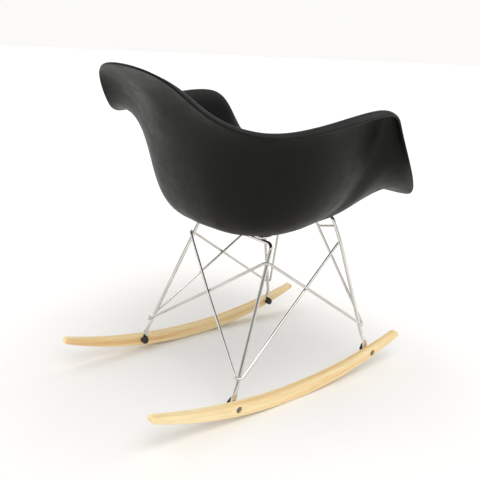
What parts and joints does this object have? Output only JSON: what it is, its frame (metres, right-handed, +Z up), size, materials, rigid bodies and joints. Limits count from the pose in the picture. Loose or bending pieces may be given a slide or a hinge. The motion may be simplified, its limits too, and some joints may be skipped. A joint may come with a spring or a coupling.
{
  "type": "rocking chair",
  "caption": "Rocking armchair with a moulded plastic bucket seat on a chromed bent-rod base with crossed wire bracing and curved wooden rockers.",
  "frame": {"origin": "on the floor under the middle of the rockers, on the plane of symmetry", "axes": "+Z up, -Y the way the sitter faces, +X the sitter's left"},
  "size_m": [0.6374, 0.683, 0.681],
  "materials": {
    "shell_plastic": "satin black moulded plastic with a fine grain",
    "chrome_rod": "polished chrome plate",
    "chrome_wire": "polished chrome plate on thin wire",
    "rocker_wood": "clear satin lacquer on pale straight-grained hardwood",
    "cap_plastic": "black moulded plastic",
    "spacer_rubber": "matt black rubber",
    "steel_fasteners": "zinc-plated steel",
    "insert_brass": "knurled brass"
  },
  "bodies": {
    "root": {"seat_shell": "shell_plastic", "rear_arch": "chrome_rod", "front_arch": "chrome_rod", "front_brace": "chrome_wire", "side_brace_left_inner": "chrome_wire", "side_brace_left_outer": "chrome_wire", "side_brace_right_inner": "chrome_wire", "side_brace_right_outer": "chrome_wire", "rear_brace_inner": "chrome_wire", "rear_brace_outer": "chrome_wire", "front_link_left": "chrome_wire", "front_link_right": "chrome_wire", "rocker_left": "rocker_wood", "rocker_right": "rocker_wood", "rocker_bolts": "steel_fasteners", "rocker_washers": "steel_fasteners", "rocker_nuts": "steel_fasteners", "seat_screws": "steel_fasteners", "seat_washers": "steel_fasteners", "threaded_inserts": "insert_brass", "end_cap_rear_left": "cap_plastic", "mount_plate_rear_left": "chrome_rod", "spacer_rear_left": "spacer_rubber", "end_cap_rear_right": "cap_plastic", "mount_plate_rear_right": "chrome_rod", "spacer_rear_right": "spacer_rubber", "end_cap_front_left": "cap_plastic", "mount_plate_front_left": "chrome_rod", "spacer_front_left": "spacer_rubber", "end_cap_front_right": "cap_plastic", "mount_plate_front_right": "chrome_rod", "spacer_front_right": "spacer_rubber"}
  },
  "joints": []
}
